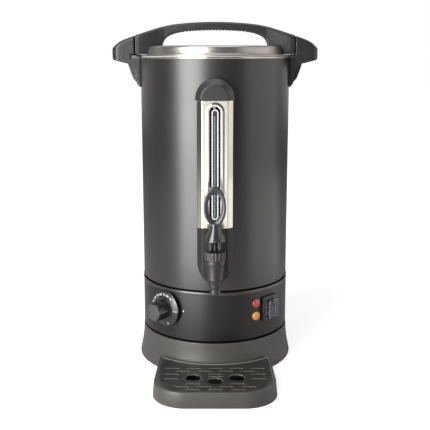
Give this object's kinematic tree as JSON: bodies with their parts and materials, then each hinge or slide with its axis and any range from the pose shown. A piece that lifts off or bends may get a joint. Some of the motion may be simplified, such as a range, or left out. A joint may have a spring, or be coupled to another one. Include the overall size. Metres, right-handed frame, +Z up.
{
  "type": "hot water urn",
  "caption": "Upright electric hot water urn with a lever tap, sight glass, thermostat knob, arched lid handle and drip tray.",
  "frame": {"origin": "on the urn's axis, at the table that it stands on", "axes": "+Z up along the urn's axis; the tap faces -Y; +X is the right side seen from the tap"},
  "size_m": [0.3062, 0.35, 0.5125],
  "materials": {
    "painted_steel": "satin",
    "moulded_black": "satin",
    "textured_black": "matte",
    "polished_steel": "polished",
    "plain_steel": "satin",
    "aluminium": "satin",
    "silicone": "matte",
    "rubber": "matte",
    "gauge_glass": "gloss",
    "scale_strip": "satin",
    "red_lens": "gloss",
    "amber_lens": "gloss",
    "clear_boot": "gloss"
  },
  "bodies": {
    "urn": {"base_ring": "moulded_black", "base_plate": "plain_steel", "base_screws": "plain_steel", "rubber_feet": "rubber", "terminal_block": "moulded_black", "control_band": "moulded_black", "lamp_red": "red_lens", "lamp_amber": "amber_lens", "cable_gland": "moulded_black", "thermostat": "plain_steel", "switch_frame": "clear_boot", "switch_body": "moulded_black", "switch_boot": "clear_boot", "outer_shell": "painted_steel", "inner_tank": "polished_steel", "heating_plate": "aluminium", "heating_element": "plain_steel", "boil_dry_cutout": "moulded_black", "handle_right": "textured_black", "handle_left": "textured_black", "handle_screws": "plain_steel", "lock_tongues": "polished_steel", "panel_screws": "plain_steel", "sight_panel": "polished_steel", "sight_cap": "textured_black", "tap_housing": "textured_black", "sight_glass": "gauge_glass", "sight_seals": "silicone", "sight_scale": "scale_strip", "tap_body": "moulded_black", "tap_gasket": "silicone", "tap_nut": "plain_steel", "tap_bonnet": "moulded_black"},
    "seal": {"lid_seal": "silicone"},
    "lid": {"lid_pan": "polished_steel", "lid_ring": "polished_steel", "lid_screws": "plain_steel", "lid_handle": "textured_black"},
    "stem": {"tap_stem": "plain_steel", "seat_cup": "silicone", "lever_pin": "plain_steel", "tap_spring": "plain_steel"},
    "lever": {"tap_lever": "moulded_black"},
    "knob": {"control_knob": "moulded_black", "knob_shaft": "plain_steel"},
    "rocker": {"switch_rocker": "moulded_black"},
    "tray": {"drip_tray": "moulded_black"},
    "grille": {"drip_grille": "moulded_black"}
  },
  "joints": [
    {"name": "lid_turn", "type": "hinge", "parent": "urn", "child": "seal", "pos_m": [0, 0, 0.462], "axis": [0, 0, 1], "range_deg": [0, 30]},
    {"name": "lid_lift", "type": "slide", "parent": "seal", "child": "lid", "axis": [0, 0, 1], "range_m": [0, 0.09]},
    {"name": "lever_tilt", "type": "hinge", "parent": "stem", "child": "lever", "pos_m": [0, -0.17, 0.211], "axis": [1, 0, 0], "range_deg": [0, 30], "stiffness_Nm_per_rad": 0.35, "springref_deg": -14.32},
    {"name": "stem_lift", "type": "slide", "parent": "urn", "child": "stem", "axis": [0, 0, 1], "range_m": [0, 0.0035], "deforming": ["tap_spring"]},
    {"name": "knob_turn", "type": "hinge", "parent": "urn", "child": "knob", "pos_m": [-0.07162, -0.08611, 0.096], "axis": [-0.6394, -0.7688, 0], "range_deg": [-270, 0]},
    {"name": "rocker_tip", "type": "hinge", "parent": "urn", "child": "rocker", "pos_m": [0.07913, -0.07641, 0.0943], "axis": [0.6947, 0.7193, 0], "range_deg": [-18, 0]},
    {"name": "tray_slide", "type": "slide", "parent": "urn", "child": "tray", "axis": [0, -1, 0], "range_m": [0, 0.15]},
    {"name": "grille_lift", "type": "slide", "parent": "tray", "child": "grille", "axis": [0, 0, 1], "range_m": [0, 0.04]}
  ],
  "couplings": [
    {"joint": "stem_lift", "follows": "lever_tilt", "m_per_rad": 0.0055}
  ]
}
